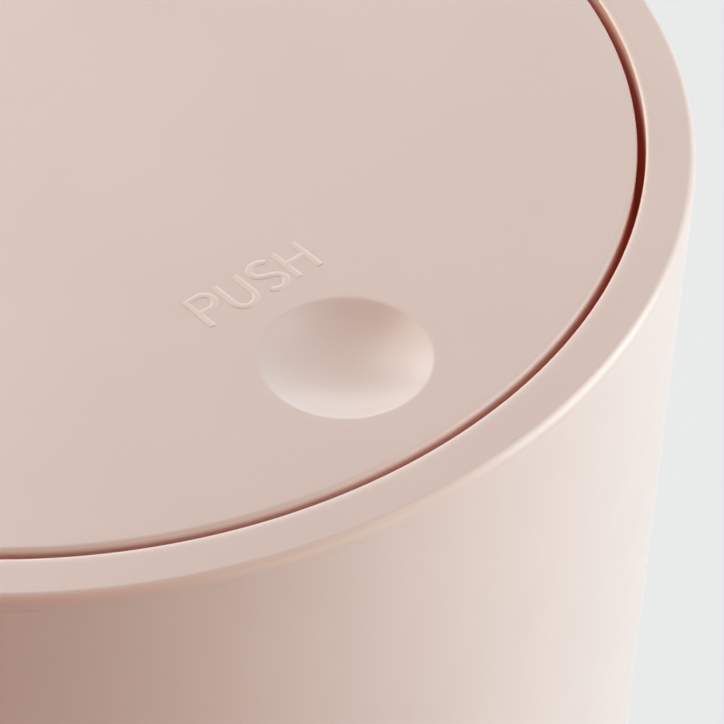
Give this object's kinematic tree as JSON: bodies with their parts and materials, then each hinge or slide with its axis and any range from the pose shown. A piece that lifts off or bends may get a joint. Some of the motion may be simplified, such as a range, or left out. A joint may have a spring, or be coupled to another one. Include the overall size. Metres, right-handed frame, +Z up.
{
  "type": "push top countertop bin",
  "caption": "Round tapered countertop bin with a flush lift-off lid ring and a round push flap that tips on a centre axle and swings back by its own weight.",
  "frame": {"origin": "on the standing surface, under the middle of the bin", "axes": "+Z up, -Y to the front, where the dimple is, +X to the right as seen from the front"},
  "size_m": [0.18, 0.18, 0.21],
  "materials": {
    "body_plastic": "satin moulded plastic, dusty pink",
    "lid_plastic": "satin moulded plastic, dusty pink",
    "flap_plastic": "satin moulded plastic, dusty pink",
    "bush_plastic": "natural acetal",
    "rubber": "matte soft rubber",
    "steel": "plain zinc plated steel"
  },
  "bodies": {
    "bin": {"bin_body": "body_plastic", "foot_pad_1": "rubber", "foot_pad_2": "rubber", "foot_pad_3": "rubber", "foot_pad_4": "rubber"},
    "lid": {"lid_frame": "lid_plastic", "bearing_bush_left": "bush_plastic", "bearing_bush_right": "bush_plastic", "stop_bumper_left": "rubber", "stop_bumper_right": "rubber"},
    "push_flap": {"flap_top": "flap_plastic", "flap_under_cover": "flap_plastic", "counterweight": "steel", "axle_pin_left": "steel", "axle_pin_right": "steel", "cover_screws": "steel"}
  },
  "joints": [
    {"name": "lid_lift", "type": "slide", "parent": "bin", "child": "lid", "axis": [0, 0, 1], "range_m": [0, 0.06]},
    {"name": "flap_pivot", "type": "hinge", "parent": "lid", "child": "push_flap", "pos_m": [0, 0, 0.2047], "axis": [1, 0, 0], "range_deg": [0, 80]}
  ]
}
